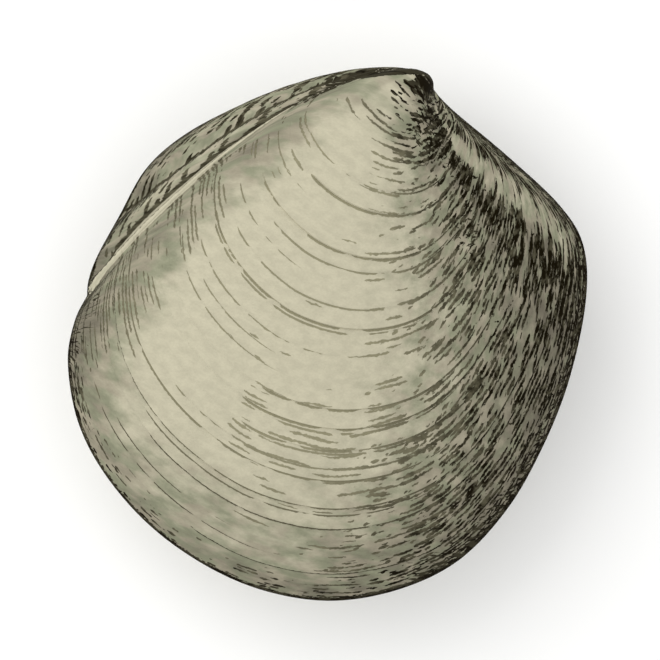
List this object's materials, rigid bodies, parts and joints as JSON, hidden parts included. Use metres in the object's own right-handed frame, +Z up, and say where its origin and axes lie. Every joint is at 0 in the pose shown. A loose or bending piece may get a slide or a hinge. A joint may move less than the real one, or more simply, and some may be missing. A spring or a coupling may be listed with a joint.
{
  "type": "fossil clam",
  "caption": "Closed fossil clam shell, round in outline, with a pointed beak, a rear fold with two furrows and stepped growth ledges, lying on one side.",
  "frame": {"origin": "centre of the bounding box, on the surface that the shell lies on", "axes": "+X to the clam's front, +Y to its hinge side with the beak, +Z up, square to the plane where the valves meet"},
  "size_m": [0.07, 0.0722, 0.0377],
  "materials": {
    "upper_shell": "dull, finely worn",
    "lower_shell": "dull, finely worn"
  },
  "bodies": {
    "root": {"right_valve": "upper_shell", "left_valve": "lower_shell"}
  },
  "joints": []
}
